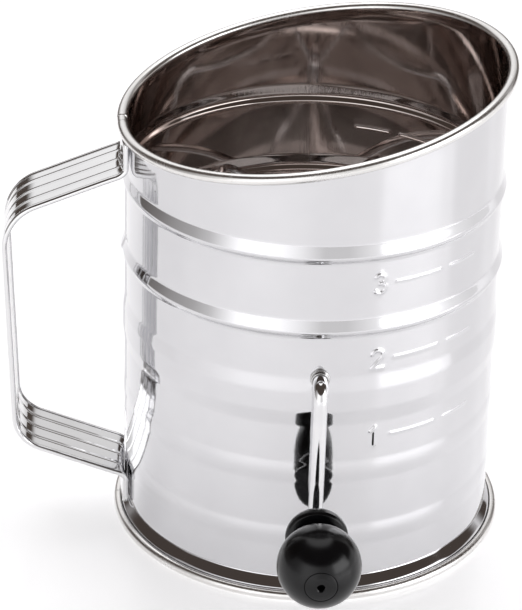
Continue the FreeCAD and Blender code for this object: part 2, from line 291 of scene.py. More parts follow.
# ------------------------------------------------------------------ materials
def node(nt, kind, **props):
    n = nt.nodes.new(kind)
    for k, v in props.items():
        setattr(n, k, v)
    return n


def new_mat(name):
    m = bpy.data.materials.new(name)
    m.use_nodes = True
    nt = m.node_tree
    for n in list(nt.nodes):
        nt.nodes.remove(n)
    out = node(nt, "ShaderNodeOutputMaterial")
    b = node(nt, "ShaderNodeBsdfPrincipled")
    nt.links.new(b.outputs[0], out.inputs[0])
    return m, nt, b


def mapped(nt, scale, rot=(0, 0, 0)):
    tc = node(nt, "ShaderNodeTexCoord")
    mp = node(nt, "ShaderNodeMapping")
    mp.inputs["Scale"].default_value = scale
    mp.inputs["Rotation"].default_value = rot
    nt.links.new(tc.outputs["Object"], mp.inputs["Vector"])
    return mp.outputs[0]


def noise(nt, vec, scale, detail=3.0, rough=0.5):
    n = node(nt, "ShaderNodeTexNoise")
    n.inputs["Scale"].default_value = scale
    n.inputs["Detail"].default_value = detail
    n.inputs["Roughness"].default_value = rough
    nt.links.new(vec, n.inputs["Vector"])
    return n.outputs["Fac"]


def ramp(nt, fac, stops):
    r = node(nt, "ShaderNodeValToRGB")
    e = r.color_ramp.elements
    while len(e) < len(stops):
        e.new(0.5)
    for el, (p, c) in zip(e, stops):
        el.position = p
        el.color = (*c, 1.0)
    nt.links.new(fac, r.inputs[0])
    return r.outputs[0]


def span(nt, fac, a, b, lo, hi):
    m = node(nt, "ShaderNodeMapRange")
    m.inputs["From Min"].default_value = a
    m.inputs["From Max"].default_value = b
    m.inputs["To Min"].default_value = lo
    m.inputs["To Max"].default_value = hi
    nt.links.new(fac, m.inputs["Value"])
    return m.outputs[0]


def steel(name, c0, c1, r0, r1, grain=(260, 260, 26), grain_d=0.000004, ripple=0.00002, smear=60.0):
    """polished stainless: slight colour drift, fine rolling grain, faint wiping smears in the roughness"""
    m, nt, b = new_mat(name)
    b.inputs["Metallic"].default_value = 1.0
    v = mapped(nt, (1, 1, 1))
    vg = mapped(nt, grain)
    big = noise(nt, v, smear, 2.0, 0.5)
    nt.links.new(ramp(nt, big, [(0.3, c0), (0.7, c1)]), b.inputs["Base Color"])
    fine = noise(nt, vg, 9.0, 4.0, 0.6)
    mix = node(nt, "ShaderNodeMath", operation="MULTIPLY")
    nt.links.new(big, mix.inputs[0])
    nt.links.new(fine, mix.inputs[1])
    nt.links.new(span(nt, mix.outputs[0], 0.1, 0.42, r0, r1), b.inputs["Roughness"])
    b1 = node(nt, "ShaderNodeBump")
    b1.inputs["Strength"].default_value = 1.0
    b1.inputs["Distance"].default_value = grain_d
    nt.links.new(fine, b1.inputs["Height"])
    if ripple:
        b2 = node(nt, "ShaderNodeBump")
        b2.inputs["Strength"].default_value = 1.0
        b2.inputs["Distance"].default_value = ripple
        nt.links.new(noise(nt, v, 55.0, 1.0, 0.4), b2.inputs["Height"])
        nt.links.new(b1.outputs[0], b2.inputs["Normal"])
        nt.links.new(b2.outputs[0], b.inputs["Normal"])
    else:
        nt.links.new(b1.outputs[0], b.inputs["Normal"])
    return m


CAN_MAT = steel("can_polished", (0.675, 0.673, 0.690), (0.705, 0.703, 0.718), 0.035, 0.075)
# inside of the sheet: the brushed grain is real, but its darker, brown-tinted colour is painted shade, standing in for
# the dark surroundings the inside reflects
IN_SHADED_MAT = steel("can_inside_brushed_painted_shade", (0.545, 0.485, 0.460), (0.625, 0.565, 0.540), 0.035, 0.085, grain=(120, 120, 4), grain_d=0.000014)
CURL_MAT = steel("curl_satin", (0.78, 0.765, 0.75), (0.85, 0.84, 0.825), 0.20, 0.29, grain=(160, 160, 160), grain_d=0.000006)
RIM_MAT = steel("handle_polished", (0.76, 0.76, 0.765), (0.81, 0.81, 0.815), 0.05, 0.10, grain=(26, 260, 26), grain_d=0.000006)
WIRE_MAT = steel("wire_drawn", (0.76, 0.76, 0.77), (0.82, 0.82, 0.83), 0.05, 0.10, grain=(300, 30, 300), ripple=0.0)
EYE_MAT = steel("eyelet_plated", (0.46, 0.455, 0.45), (0.58, 0.575, 0.57), 0.07, 0.15, grain=(400, 400, 400), ripple=0.0)
FIT_MAT = steel("fittings_satin", (0.52, 0.52, 0.53), (0.62, 0.62, 0.63), 0.22, 0.36, grain=(400, 400, 400), ripple=0.0)
SCREEN_MAT = steel("screen_wire", (0.42, 0.41, 0.40), (0.55, 0.54, 0.53), 0.25, 0.4, grain=(400, 400, 400), ripple=0.0)

# glossy black moulded plastic: orange-peel ripple, dust-fine scuffs that dull it in places
KNOB_MAT, nt, b = new_mat("knob_black_gloss")
v = mapped(nt, (1, 1, 1))
n1 = noise(nt, v, 90.0, 3.0, 0.55)
n2 = noise(nt, v, 700.0, 2.0, 0.6)
nt.links.new(ramp(nt, n1, [(0.35, (0.0018, 0.0018, 0.0024)), (0.7, (0.0034, 0.0034, 0.0042))]), b.inputs["Base Color"])
nt.links.new(span(nt, n1, 0.3, 0.7, 0.16, 0.23), b.inputs["Roughness"])
b.inputs["IOR"].default_value = 1.5
b.inputs["Specular IOR Level"].default_value = 0.33
bp = node(nt, "ShaderNodeBump")
bp.inputs["Distance"].default_value = 0.000012
nt.links.new(n2, bp.inputs["Height"])
nt.links.new(bp.outputs[0], b.inputs["Normal"])

# pale studio floor
FLOOR_MAT, nt, b = new_mat("studio_floor")
v = mapped(nt, (1, 1, 1))
nt.links.new(ramp(nt, noise(nt, v, 6.0, 2.0, 0.5), [(0.3, (0.945, 0.945, 0.95)), (0.7, (0.955, 0.955, 0.96))]), b.inputs["Base Color"])
nt.links.new(span(nt, noise(nt, v, 40.0, 2.0, 0.5), 0.3, 0.7, 0.15, 0.19), b.inputs["Roughness"])
b.inputs["Specular IOR Level"].default_value = 0.42
# a light table: the floor glows evenly as well as catching the studio light
b.inputs["Emission Color"].default_value = (0.985, 0.985, 1.0, 1.0)
b.inputs["Emission Strength"].default_value = 0.45

# ------------------------------------------------------------------ can: one sheet, from the base curl up the wall to the rim curl and back down inside
zf = np.arange(-1.0, 170.0, 0.02)
bump_r = np.zeros_like(zf)
for zc in DEEP:
    bump_r += np.interp(zf - zc, [-2.9, -2.2, -1.5, -0.9, 2.4], [0.0, 0.62, 1.13, DEEP_D, 0.0])
for zc in SHALLOW:
    h, d = SHALLOW_H / 2, SHALLOW_D
    R = (h * h + d * d) / (2 * d)
    m = np.abs(zf - zc) < h
    bump_r[m] += np.sqrt(R * R - (zf[m] - zc) ** 2) - (R - d)
bump_r += BAND_D * np.clip(np.minimum((zf - BAND0 + 2.8) / 4.2, (BAND1 + 3.0 - zf) / 4.2), 0, 1)
k = np.exp(-0.5 * (np.arange(-80, 81) * 0.02 / 0.30) ** 2)
bump_r = np.convolve(bump_r, k / k.sum(), mode="same")


def features(z):
    return np.interp(z, zf, bump_r)


FLARE = np.array([(55.98, 1.5), (56.02, 1.8), (56.10, 2.15), (56.22, 2.45), (56.35, 2.72), (56.44, 2.95), (56.45, 3.14), (56.34, 3.36), (55.97, 3.76), (55.60, 4.16), (55.22, 4.56), (54.85, 4.96), (54.48, 5.36), (54.17, 5.69), (54.04, 5.90), (54.02, 6.06), (54.12, 6.22), (54.40, 6.37), (54.74, 6.48), (54.94, 6.60), (55.0, 6.80), (55.0, 7.2)])
FLARE_IN = np.array([(55.50, 1.5), (55.52, 2.0), (55.64, 2.5), (55.80, 2.92), (55.86, 3.06), (55.60, 3.44), (55.24, 3.84), (54.88, 4.23), (54.50, 4.64), (54.12, 5.05), (53.80, 5.40), (53.58, 5.72), (53.54, 6.10), (53.66, 6.50), (54.02, 6.82), (54.34, 6.98), (54.5, 7.12)])

MARK_Z = (102.2, 78.1, 53.0)
Z_SPLIT = 118.5
HOLE = 2.5
rows = {7.2, 7.8, 8.6, 9.6}
z = 10.8
while z < Z_SPLIT - 0.3:
    rows.add(round(z, 3))
    z += 1.25
for zc in DEEP:
    rows.update(np.round(np.linspace(zc - 4.3, zc + 4.3, 27), 3))
for zc in SHALLOW:
    rows.update(np.round(np.linspace(zc - 4.0, zc + 4.0, 17), 3))
rows.update(np.round(np.linspace(BAND0 - 3.5, BAND0 + 2.1, 17), 3))
rows.update(np.round(np.linspace(BAND1 - 1.9, BAND1 + 3.7, 17), 3))
for zc in MARK_Z:
    rows.update(np.round(np.linspace(zc - 3.6, zc + 3.6, 25), 3))
hole_lines = np.round(AXLE_Z + np.array([-HOLE * t for t in (1.8, 1.55, 1.35, 1.2, 1.1, 1, .8, .6, .4, .2)] + [0.0] + [HOLE * t for t in (.2, .4, .6, .8, 1, 1.1, 1.2, 1.35, 1.55, 1.8)]), 3)
rows = {r for r in rows if not (hole_lines[0] - 0.05 < r < hole_lines[-1] + 0.05)}
rows.update(hole_lines)
rows.add(Z_SPLIT)
rs = sorted(rows)
ROWS = [rs[0]]
protect = set(float(h) for h in hole_lines)
for r in rs[1:]:
    if r - ROWS[-1] < 0.14 and float(r) not in protect:
        continue
    ROWS.append(r)
ROWS = np.array(ROWS, float)

# columns: angles, finer at the marks, the lock seam and the axle holes
cols = set(np.round(np.arange(0, 360, 1.5), 4))
MARK_A = (13.0, 56.0)
for s0, s1 in ((-90 + MARK_A[0], -90 + MARK_A[1]), (90 - MARK_A[1], 90 - MARK_A[0])):
    cols = {c for c in cols if not (s0 % 360 <= c <= (s1 % 360 if s1 % 360 else 360))}
    cols.update(np.round(np.arange(s0, s1 + 0.01, 0.31) % 360, 4))
deg = 180 / pi / CAN_R
seam = np.concatenate([np.arange(-4.2, -3.5, 0.35), np.arange(-3.5, -2.5, 0.1), np.arange(-2.4, -0.7, 0.5), np.arange(-0.6, 0.61, 0.1),
                       np.arange(0.9, 2.5, 0.5), np.arange(2.5, 3.6, 0.12), [3.85, 4.2]])
cols = {c for c in cols if abs(c - 180) > 4.3 * deg}
cols.update(np.round(180 + seam * deg, 4))
hl = np.array([-HOLE * t for t in (1.8, 1.55, 1.35, 1.2, 1.1, 1, .8, .6, .4, .2)] + [0.0] + [HOLE * t for t in (.2, .4, .6, .8, 1, 1.1, 1.2, 1.35, 1.55, 1.8)])
for c0 in (90.0, 270.0):
    cols = {c for c in cols if abs(c - c0) > 4.7 * deg}
    cols.update(np.round(c0 + hl * deg, 4))
COLS = np.radians(np.array(sorted(cols), float))
NT = len(COLS)


def arc_pts(cx, cy, r, a0, a1, n):
    return [(cx + r * cos(radians(a0 + (a1 - a0) * t / n)), cy + r * sin(radians(a0 + (a1 - a0) * t / n))) for t in range(n + 1)]


def strokes(which, side):
    """strokes of a raised level mark's figure; the level line is added in emboss. u runs left to right as read from
    outside, v up.
    """
    s = []
    if which == 1:
        s.append([(-1.2, 1.7), (0.1, 2.9), (0.1, -2.9)])
    elif which == 2:
        s.append(arc_pts(0.05, 1.25, 1.62, 165, -38, 14) + [(-1.6, -2.85), (1.8, -2.85)])
    else:
        s.append(arc_pts(0.0, 1.42, 1.45, 150, -88, 14))
        s.append(arc_pts(0.0, -1.38, 1.58, 88, -150, 14))
    return s


def emboss(theta, zz):
    """height of the raised marks at an angle and a height on the wall"""
    out = np.zeros_like(zz)
    for side in (0, 1):
        # distance along the wall, left to right seen from outside
        psi = (np.degrees(theta) + 90) if side == 0 else (90 - np.degrees(theta))
        psi = (psi + 180) % 360 - 180
        for idx, zc in enumerate(MARK_Z):
            m = (psi > MARK_A[0] - 1) & (psi < MARK_A[1] + 1) & (np.abs(zz - zc) < 3.7)
            if not m.any():
                continue
            if side == 0:
                u = np.radians(psi[m]) * CAN_R
                x0 = 16.4
                ln = [(21.5, 36.5), (40.5, 51.0)]
            else:
                u = (radians(70.0) - np.radians(psi[m])) * CAN_R
                x0 = radians(70.0) * CAN_R - 50.6
                ln = [(x0 + 5.1, x0 + 20.1), (x0 + 24.1, x0 + 34.6)]
            vv = zz[m] - zc
            d = np.full(u.shape, 9.0)
            for line in strokes(3 - idx, side):
                L = np.array(line, float)
                L[:, 0] += x0
                for a, c in zip(L[:-1], L[1:]):
                    e = c - a
                    t = np.clip(((u - a[0]) * e[0] + (vv - a[1]) * e[1]) / (e @ e), 0, 1)
                    d = np.minimum(d, np.hypot(u - a[0] - t * e[0], vv - a[1] - t * e[1]))
            rise = 0.46 * (1 - sstep(0.10, 0.80, d))
            d = np.full(u.shape, 9.0)
            for a, c in ln:
                t = np.clip(u, a, c)
                d = np.minimum(d, np.hypot(u - t, vv))
            out[m] += rise + 0.24 * (1 - sstep(0.05, 0.62, d))
    return out


def seam_height(theta, z, top):
    """folded lock seam down the handle side"""
    y = ((np.degrees(theta) - 180 + 180) % 360 - 180) / deg
    f = sstep(-3.4, -1.7, y) * (1 - sstep(1.9, 3.4, y))
    groove = np.exp(-((y + 0.1) / 0.20) ** 2) * 0.06
    zfade = sstep(7.6, 8.6, z) * (1 - sstep(top - 2.9, top - 2.2, z))
    return (0.42 * f - groove) * zfade


def wander(theta, z):
    """slight unevenness of rolled sheet"""
    return (0.016 * np.sin(3 * theta + z * 0.031 + 0.7) + 0.012 * np.sin(5 * theta - z * 0.052 + 2.1) + 0.010 * np.sin(8 * theta + z * 0.083 + 4.4)
            + 0.006 * np.sin(13 * theta - z * 0.12 + 1.3) + 0.004 * np.sin(2 * theta + z * 0.21 + 0.4))


TH = COLS[:, None]
# rim height at each column, leaning a little towards the crank side
ZC = RIM_Z0 - 0.012 + RIM_SLOPE * RIM_C * np.cos(COLS) + 0.32 * np.sin(COLS)
top_v = np.concatenate([np.linspace(0, 1, 22)[1:-1], [0.972, 0.986, 1.0]])


def wall_z(col_top):
    """heights of all wall rows at each column: fixed rows, then rows stretched to the slanted rim"""
    a = np.repeat(ROWS[None, :], NT, 0)
    s = Z_SPLIT + top_v[None, :] * (col_top[:, None] - Z_SPLIT)
    return np.concatenate([a, s], 1)


WZ = wall_z(ZC)
NW = WZ.shape[1]
TT = np.repeat(TH, NW, 1)
near_top = sstep(3.0, 0.0, ZC[:, None] - WZ)
r_out = CAN_R + features(WZ) + emboss(TT, WZ) + seam_height(TT, WZ, ZC[:, None]) + wander(TT, WZ) * (1 - near_top) * sstep(6, 14, WZ) + 0.13 * near_top
r_in = CAN_R - WALL_T + features(WZ) + emboss(TT, WZ) + wander(TT, WZ) * (1 - near_top) * sstep(6, 14, WZ) + 0.15 * near_top


def hole_warp(T, Zz):
    """draws the square patch of the grid round each axle hole into a circle"""
    T, Zz = T.copy(), Zz.copy()
    for c0 in (pi / 2, 3 * pi / 2):
        u = (T - c0) * CAN_R
        v = Zz - AXLE_Z
        m = np.maximum(np.abs(u), np.abs(v))
        e = np.hypot(u, v)
        w = 1 - sstep(HOLE, HOLE * 1.8, m)
        f = np.where(e > 1e-9, m / np.maximum(e, 1e-9), 1.0)
        g = 1 + w * (f - 1)
        near = m < HOLE * 1.8
        T = np.where(near, c0 + u * g / CAN_R, T)
        Zz = np.where(near, AXLE_Z + v * g, Zz)
    return T, Zz


TW, ZW = hole_warp(TT, WZ)


def cyl(r, t, z):
    return np.stack([r * np.cos(t), r * np.sin(t), z], -1)


blocks = []
# flare outside, from under the base curl up to the first wall row
fo = FLARE[:-1]
blocks.append(cyl(np.repeat(fo[None, :, 0], NT, 0), np.repeat(TH, len(fo), 1), np.repeat(fo[None, :, 1], NT, 0)))
blocks.append(cyl(r_out, TW, ZW))
i_out0 = len(fo)
# rim curl, inner face first, then its edge, then the outer face back to the inside of the wall
S = RIM_SLOPE
nrm = np.sqrt(1 + (S * np.sin(COLS)) ** 2)
er = np.stack([np.cos(COLS), np.sin(COLS), 0 * COLS], -1)
et = np.stack([-np.sin(COLS), np.cos(COLS), 0 * COLS], -1)
zp = (np.array([0, 0, 1.0])[None, :] + et * (S * np.sin(COLS))[:, None]) / nrm[:, None]
cen = np.stack([RIM_C * np.cos(COLS), RIM_C * np.sin(COLS), ZC], -1)
# the curl's two ends meet on the handle side: a fine open joint across it
ys = ((np.degrees(COLS) - 180 + 180) % 360 - 180) / deg
nick = 0.34 * np.exp(-((ys - 0.1) / 0.16) ** 2)
lap = 0.10 * sstep(0.1, 0.45, ys) * (1 - sstep(3.0, 5.0, ys))


def curl(rad, phis, face=1.0):
    ph = np.radians(phis)
    hide = sstep(2, 22, phis) * face
    rr = rad - (nick[:, None] + lap[:, None]) * hide[None, :]
    return cen[:, None, :] + rr[..., None] * (-np.cos(ph)[None, :, None] * er[:, None, :] + np.sin(ph)[None, :, None] * zp[:, None, :])


END = 309.0
ph_in = np.linspace(0, END, 30)[1:]
blocks.append(curl(RIM_R - 0.46, ph_in, 0.0))
blocks.append(curl(RIM_R - 0.32, np.array([END + 5.0]), 0.0))
blocks.append(curl(RIM_R - 0.14, np.array([END + 5.0]), 0.0))
ph_out = np.linspace(END, 0, 62)
blocks.append(curl(RIM_R, ph_out))
# inside of the wall, downwards
blocks.append(cyl(r_in, TW, ZW)[:, ::-1][:, 1:])
i_in0 = sum(b.shape[1] for b in blocks) - 1        # index of the lowest inner wall row
fi = FLARE_IN[::-1][1:-1]
blocks.append(cyl(np.repeat(fi[None, :, 0], NT, 0), np.repeat(TH, len(fi), 1), np.repeat(fi[None, :, 1], NT, 0)))
# base curl: down, out, up and back over towards the flare
nick_b = 0.34 * np.exp(-((ys + 0.2) / 0.16) ** 2)


def base_curl(rad, al, face=1.0):
    a = np.radians(al)
    rr = rad - nick_b[:, None] * (sstep(182, 215, al) * face)[None, :]
    r = BASE_C + rr * np.cos(a)[None, :]
    z = np.maximum(BASE_Z + rr * np.sin(a)[None, :], 0.0)
    return cyl(r, np.repeat(TH, len(al), 1), z)


blocks.append(base_curl(BASE_R, np.linspace(180, 462, 58)))
blocks.append(base_curl(BASE_R - 0.14, np.array([466.0]), 0.0))
blocks.append(base_curl(BASE_R - 0.34, np.array([466.0]), 0.0))
blocks.append(base_curl(BASE_R - 0.48, np.linspace(462, 184, 27), 0.0))
P = np.concatenate(blocks, 1)
NP = P.shape[1]
F = grid_faces(NT, NP, True, True)
# open the axle holes through both faces of the wall and line them
keep = np.ones(len(F), bool)
fi_, fj_ = F[:, 0] // NP, F[:, 0] % NP
colmid = np.degrees((COLS + np.roll(np.unwrap(COLS), -1)) / 2)
colmid[-1] = (np.degrees(COLS[-1]) + 360) / 2
cm = colmid[fi_]
n_out_rows = NW
row_lo = np.searchsorted(ROWS, AXLE_Z - HOLE - 1e-3)
row_hi = np.searchsorted(ROWS, AXLE_Z + HOLE - 1e-3)
out_lo, out_hi = i_out0 + row_lo, i_out0 + row_hi
in_row = lambda k: i_in0 - k          # inner wall row k counted upwards
in_hi, in_lo = in_row(row_hi), in_row(row_lo)
lining = []
for c0 in (90.0, 270.0):
    isc = np.abs(cm - c0) < HOLE * deg
    keep &= ~(isc & (fj_ >= out_lo) & (fj_ < out_hi))
    keep &= ~(isc & (fj_ >= in_hi) & (fj_ < in_lo))
    ca = int(np.argmin(np.abs(np.degrees(COLS) - (c0 - HOLE * deg))))
    cb = int(np.argmin(np.abs(np.degrees(COLS) - (c0 + HOLE * deg))))
    loop = [(c, row_lo) for c in range(ca, cb)] + [(cb, r) for r in range(row_lo, row_hi)] + [(c, row_hi) for c in range(cb, ca, -1)] + [(ca, r) for r in range(row_hi, row_lo, -1)]
    o = np.array([c * NP + i_out0 + r for c, r in loop])
    i = np.array([c * NP + in_row(r) for c, r in loop])
    lining.append(np.stack([o, np.roll(o, -1), np.roll(i, -1), i], -1))
F = F[keep]
lin = np.concatenate(lining)
# the lining has to run the other way round from its neighbours along each shared edge
edges = set()
ee = F[:, [0, 1]].tolist() + F[:, [1, 2]].tolist() + F[:, [2, 3]].tolist() + F[:, [3, 0]].tolist()
want = {tuple(lin[0, :2].tolist())}
if any(tuple(x) in want for x in ee):
    lin = lin[:, ::-1]
row_j = F[:, 0] % NP
# material index: 1 for the inside faces, which take the steel with painted shade, 2 for the two curls
inside = ((row_j >= i_in0 - (NW - 1)) & (row_j <= i_in0 + len(fi))).astype(int)
inside[(row_j >= i_out0 + NW) & (row_j < i_in0 - (NW - 1))] = 2
inside[(row_j > i_in0 + len(fi)) & (row_j < NP - 2)] = 2
CAN = build("can", P.reshape(-1, 3), [np.concatenate([F, lin])], "root", [CAN_MAT, IN_SHADED_MAT, CURL_MAT], ("can_body",), sharp=62.0,
            which=np.concatenate([inside, np.zeros(len(lin), int)]))

# ------------------------------------------------------------------ handle strap
W2 = 12.0
F_R = CAN_R + 0.75
FX = -(F_R + 0.5)
TOP_Z, LOW_Z = STRAP_HI[2], STRAP_LO[2]
A1, A2 = np.array([-50.0, 118.0]), np.array([-90.7, 101.6])
B1, B2 = np.array([-87.9, 27.4]), np.array([-50.0, 13.3])
zc1 = A1[1] + (FX - A1[0]) * (A2[1] - A1[1]) / (A2[0] - A1[0])
zc4 = B2[1] + (FX - B2[0]) * (B1[1] - B2[1]) / (B1[0] - B2[0])
corner = [(FX, 0, TOP_Z), (FX, 0, zc1), (A2[0], 0, A2[1]), (B1[0], 0, B1[1]), (FX, 0, zc4), (FX, 0, LOW_Z)]
SP = path3(corner, [3.0, 14.4, 11.0, 3.0], step=1.5, arc=18)
# finer steps on the flanges, where the welds are
def refine_ends(P, zlo, zhi):
    out = [P[0]]
    for a, b_ in zip(P[:-1], P[1:]):
        if abs(a[0] - FX) < 1e-6 and abs(b_[0] - FX) < 1e-6:
            n = max(1, int(np.linalg.norm(b_ - a) / 0.3))
            for q in range(1, n):
                out.append(a + (b_ - a) * q / n)
        out.append(b_)
    return np.array(out)


SP = refine_ends(SP, 0, 0)
ds = np.linalg.norm(np.diff(SP, axis=0), axis=1)
SL = np.concatenate([[0], np.cumsum(ds)])
ST = np.gradient(SP, SL, axis=0)
ST /= np.linalg.norm(ST, axis=1)[:, None]
SN = np.stack([ST[:, 2], 0 * SL, -ST[:, 0]], -1)
bend_top = np.argmax(np.abs(SP[:, 0] - FX) > 1e-6)
bend_low = len(SP) - np.argmax(np.abs(SP[::-1, 0] - FX) > 1e-6) - 1
s_top, s_low = SL[bend_top], SL[bend_low]
wrap = np.maximum(1 - sstep(s_top - 0.3, s_top + 4.2, SL), sstep(s_low - 4.2, s_low + 0.3, SL))
ribw = sstep(s_top - 1.0, s_top + 3.0, SL) * (1 - sstep(s_low - 3.0, s_low + 1.0, SL))

yl = [-12.0 + 0.8 - 0.8 * cos(a) for a in np.linspace(0, pi / 2, 8)]
ys_ = yl + [-10.9, -10.65, -10.52, -10.42, -10.3, -10.1, -9.4, -8.6, -7.8]
for c in (-6.0, 0.0, 6.0):
    ys_ += [c - 1.3] + list(c + np.linspace(-1.0, 1.0, 17)) + [c + 1.3]
    if c < 6:
        ys_ += [c + 2.2, c + 3.0, c + 3.8]
ys_ += [7.8, 8.6, 9.4, 10.1, 10.3, 10.42, 10.52, 10.65, 10.9] + [-v for v in yl[::-1]]
YS = np.array(ys_)
hem = sstep(10.35, 10.62, np.abs(YS))
edge = np.clip(np.abs(YS) - 11.2, 0, 0.8)
round_ = np.sqrt(np.maximum(0.64 - edge ** 2, 0)) / 0.8
rib = np.zeros_like(YS)
for c in (-6.0, 0.0, 6.0):
    rib = np.maximum(rib, np.clip(np.cos(np.clip((YS - c) / 0.95, -1, 1) * pi / 2), 0, 1) ** 1.3)
out_h = (0.5 + 0.3 * hem) * np.where(np.abs(YS) > 11.2, round_, 1.0)
in_h = -(0.5 + 0.3 * hem) * np.where(np.abs(YS) > 11.2, round_, 1.0)
NS, NY = len(SL), len(YS)
half = np.full(NS, W2)
for ends_ in (SL, SL[-1] - SL):
    t = np.clip(ends_, 0, 2.4)
    half = np.minimum(half, W2 - (2.4 - np.sqrt(np.maximum(2.4 ** 2 - (2.4 - t) ** 2, 0))))
Y = YS[None, :] * (half / W2)[:, None]
grip = sstep(-86.0, -89.0, SP[:, 0]) * sstep(34.0, 42.0, SP[:, 2]) * (1 - sstep(86.0, 94.0, SP[:, 2]))
ribh = (0.17 + 0.30 * grip) * ribw
HO = out_h[None, :] + rib[None, :] * ribh[:, None]
HI = in_h[None, :] + 0.92 * rib[None, :] * ribh[:, None]
# end edges thin out a little, as sheared and tumbled sheet does
endr = np.minimum(np.minimum(SL, SL[-1] - SL) / 0.4, 1)
tap = 0.55 + 0.45 * np.sqrt(1 - (1 - endr) ** 2)
HO *= tap[:, None]
HI *= tap[:, None]
# spot welds: round dimples
weld = np.zeros((NS, NY))
for (sc, yc) in ((s_top - 3.9, 4.6), (s_top - 4.4, -3.4), (s_low + 4.6, 4.0), (s_low + 4.6, -4.0)):
    d = np.hypot(SL[:, None] - sc, Y - yc)
    weld += -0.42 * (1 - sstep(0.5, 1.7, d)) + 0.07 * np.exp(-((d - 2.0) / 0.4) ** 2)
HO = HO + weld
# slow unevenness of a hand-fed bend
HO += 0.02 * np.sin(SL * 0.21 + 0.5)[:, None] * np.cos(YS * 0.3)[None, :]
HI += 0.02 * np.sin(SL * 0.21 + 0.5)[:, None] * np.cos(YS * 0.3)[None, :]
dx = (F_R - np.sqrt(F_R ** 2 - Y ** 2)) * wrap[:, None]


def strap_surface(H):
    return SP[:, None, :] + SN[:, None, :] * H[..., None] + np.stack([dx, Y, 0 * Y], -1)


SO, SI = strap_surface(HO), strap_surface(HI)
loopP = np.concatenate([SO, SI[:, ::-1][:, 1:-1]], 1)       # the edge points are shared
NL = loopP.shape[1]
FS = grid_faces(NS, NL, False, True)
caps = []
for s_i in (0, NS - 1):
    o = s_i * NL + np.arange(NY)
    inn = np.concatenate([[o[0]], s_i * NL + (NL - np.arange(1, NY - 1)), [o[-1]]])
    q = np.stack([o[:-1], o[1:], inn[1:], inn[:-1]], -1)
    if s_i != 0:
        q = q[:, ::-1]
    caps.append(q)
cq = np.concatenate(caps)
tri_a = cq[(cq[:, 0] == cq[:, 3])][:, :3]
tri_b = cq[(cq[:, 1] == cq[:, 2])][:, [0, 1, 3]]
tri_c = cq[(cq[:, 0] == cq[:, 1])][:, 1:]
tri_d = cq[(cq[:, 2] == cq[:, 3])][:, :3]
good = (cq[:, 0] != cq[:, 3]) & (cq[:, 1] != cq[:, 2]) & (cq[:, 0] != cq[:, 1]) & (cq[:, 2] != cq[:, 3])
build("strap_handle", loopP.reshape(-1, 3), [FS, cq[good], tri_a, tri_b, tri_c, tri_d], "root", RIM_MAT, ("handle_strap",), sharp=50.0)

# ------------------------------------------------------------------ crank: axle, arm and pin in one wire
ARM_Y = -61.5
wp = path3([(0, WIRE_HI[1], AXLE_Z), (0, ARM_Y, AXLE_Z), (0, ARM_Y, AXLE_Z - ARM_LEN), (0, WIRE_LO[1], AXLE_Z - ARM_LEN)], [4.4, 5.0], step=1.5, arc=22)
tube("crank", turn_y(wp, HANG), WIRE_R, "crank", WIRE_MAT, ("crank_wire",), n=40, ends=0.5)

BOW_A = (49.5, 139.5, 229.5, 319.5)
REACH, HALF_ = 35.2, 40.0
for i, a in enumerate(BOW_A):
    bp_ = path3([(0, -48.3, AXLE_Z + 2.85), (0, -48.3, AXLE_Z + 9), (0, -HALF_, AXLE_Z + REACH), (0, HALF_, AXLE_Z + REACH), (0, 48.3, AXLE_Z + 9), (0, 48.3, AXLE_Z + 2.85)],
                [12.0, 14.0, 14.0, 12.0], step=1.5, arc=14)
    tube("agitator_wire_%d" % (i + 1), turn_y(bp_, -radians(a) + HANG), 1.2, "crank", WIRE_MAT, ("agitator_bow_%d" % (i + 1),), n=24, ends=0.25)

# ------------------------------------------------------------------ eyelet bushings
yb_in = sqrt((CAN_R - WALL_T) ** 2 - 3.6 ** 2) - 0.02
for nm, sg in (("front", -1), ("rear", 1)):
    bl = fillet2([(2.15, yb_in - 0.7, 0.12), (3.6, yb_in - 0.7, 0.25), (3.6, yb_in, 0.1), (2.48, yb_in, 0), (2.48, 55.04, 0), (2.85, 55.04, 0.12),
                  (2.85, 55.62, 0.26), (2.60, 55.74, 0.12), (2.66, 56.05, 0.2), (2.52, 56.62, 0.24), (2.15, 56.62, 0.12)], True, 5)
    lathe("%s_eyelet" % nm, densify(bl, 0.8), 72, about_y(0, AXLE_Z, sg), "root", EYE_MAT, ("%s_bushing" % nm,))
# thrust washers, flat, with rounded edges
for nm, sg in (("front", -1), ("rear", 1)):
    y0 = yb_in - 0.7 - 0.15 - 0.6
    wl = fillet2([(2.12, y0, 0.1), (4.4, y0, 0.22), (4.4, y0 + 0.6, 0.22), (2.12, y0 + 0.6, 0.1)], True, 5)
    lathe("%s_thrust_washer" % nm, densify(wl, 0.5), 64, about_y(0, AXLE_Z, sg), "crank", FIT_MAT, ("%s_washer" % nm,))


# push nuts: domed, with a toothed bite on the shaft and a stepped skirt
def push_nut(name, y0, r0, r1, h, cx, cz, sg, node_name):
    loop = fillet2([(2.12, y0 + h * 0.45, 0.05), (2.9, y0 + 0.18, 0.1), (r0 - 0.3, y0, 0.1), (r0, y0, 0.12), (r0, y0 + h * 0.40, 0.22), (r1 + 0.25, y0 + h * 0.62, 0.2),
                    (r1 - 0.2, y0 + h, 0.25), (2.12, y0 + h * 0.86, 0.06)], True, 4)
    loop = densify(loop, 0.35)

    def teeth(R, H, T):
        w = 1 - sstep(2.2, 3.1, R)
        gap = sstep(0.72, 0.9, np.abs(np.cos(3 * T)))
        return R + w * gap * 0.75, H
    return lathe(name, loop, 144, about_y(cx, cz, sg), "crank", FIT_MAT, (node_name,), radial=teeth)


push_nut("axle_retainer", 56.87, 4.6, 3.4, 1.5, 0, AXLE_Z, 1, "axle_push_nut")
push_nut("knob_retainer", 91.3, 4.1, 3.0, 1.3, KN[0], KN[2], -1, "knob_push_nut")

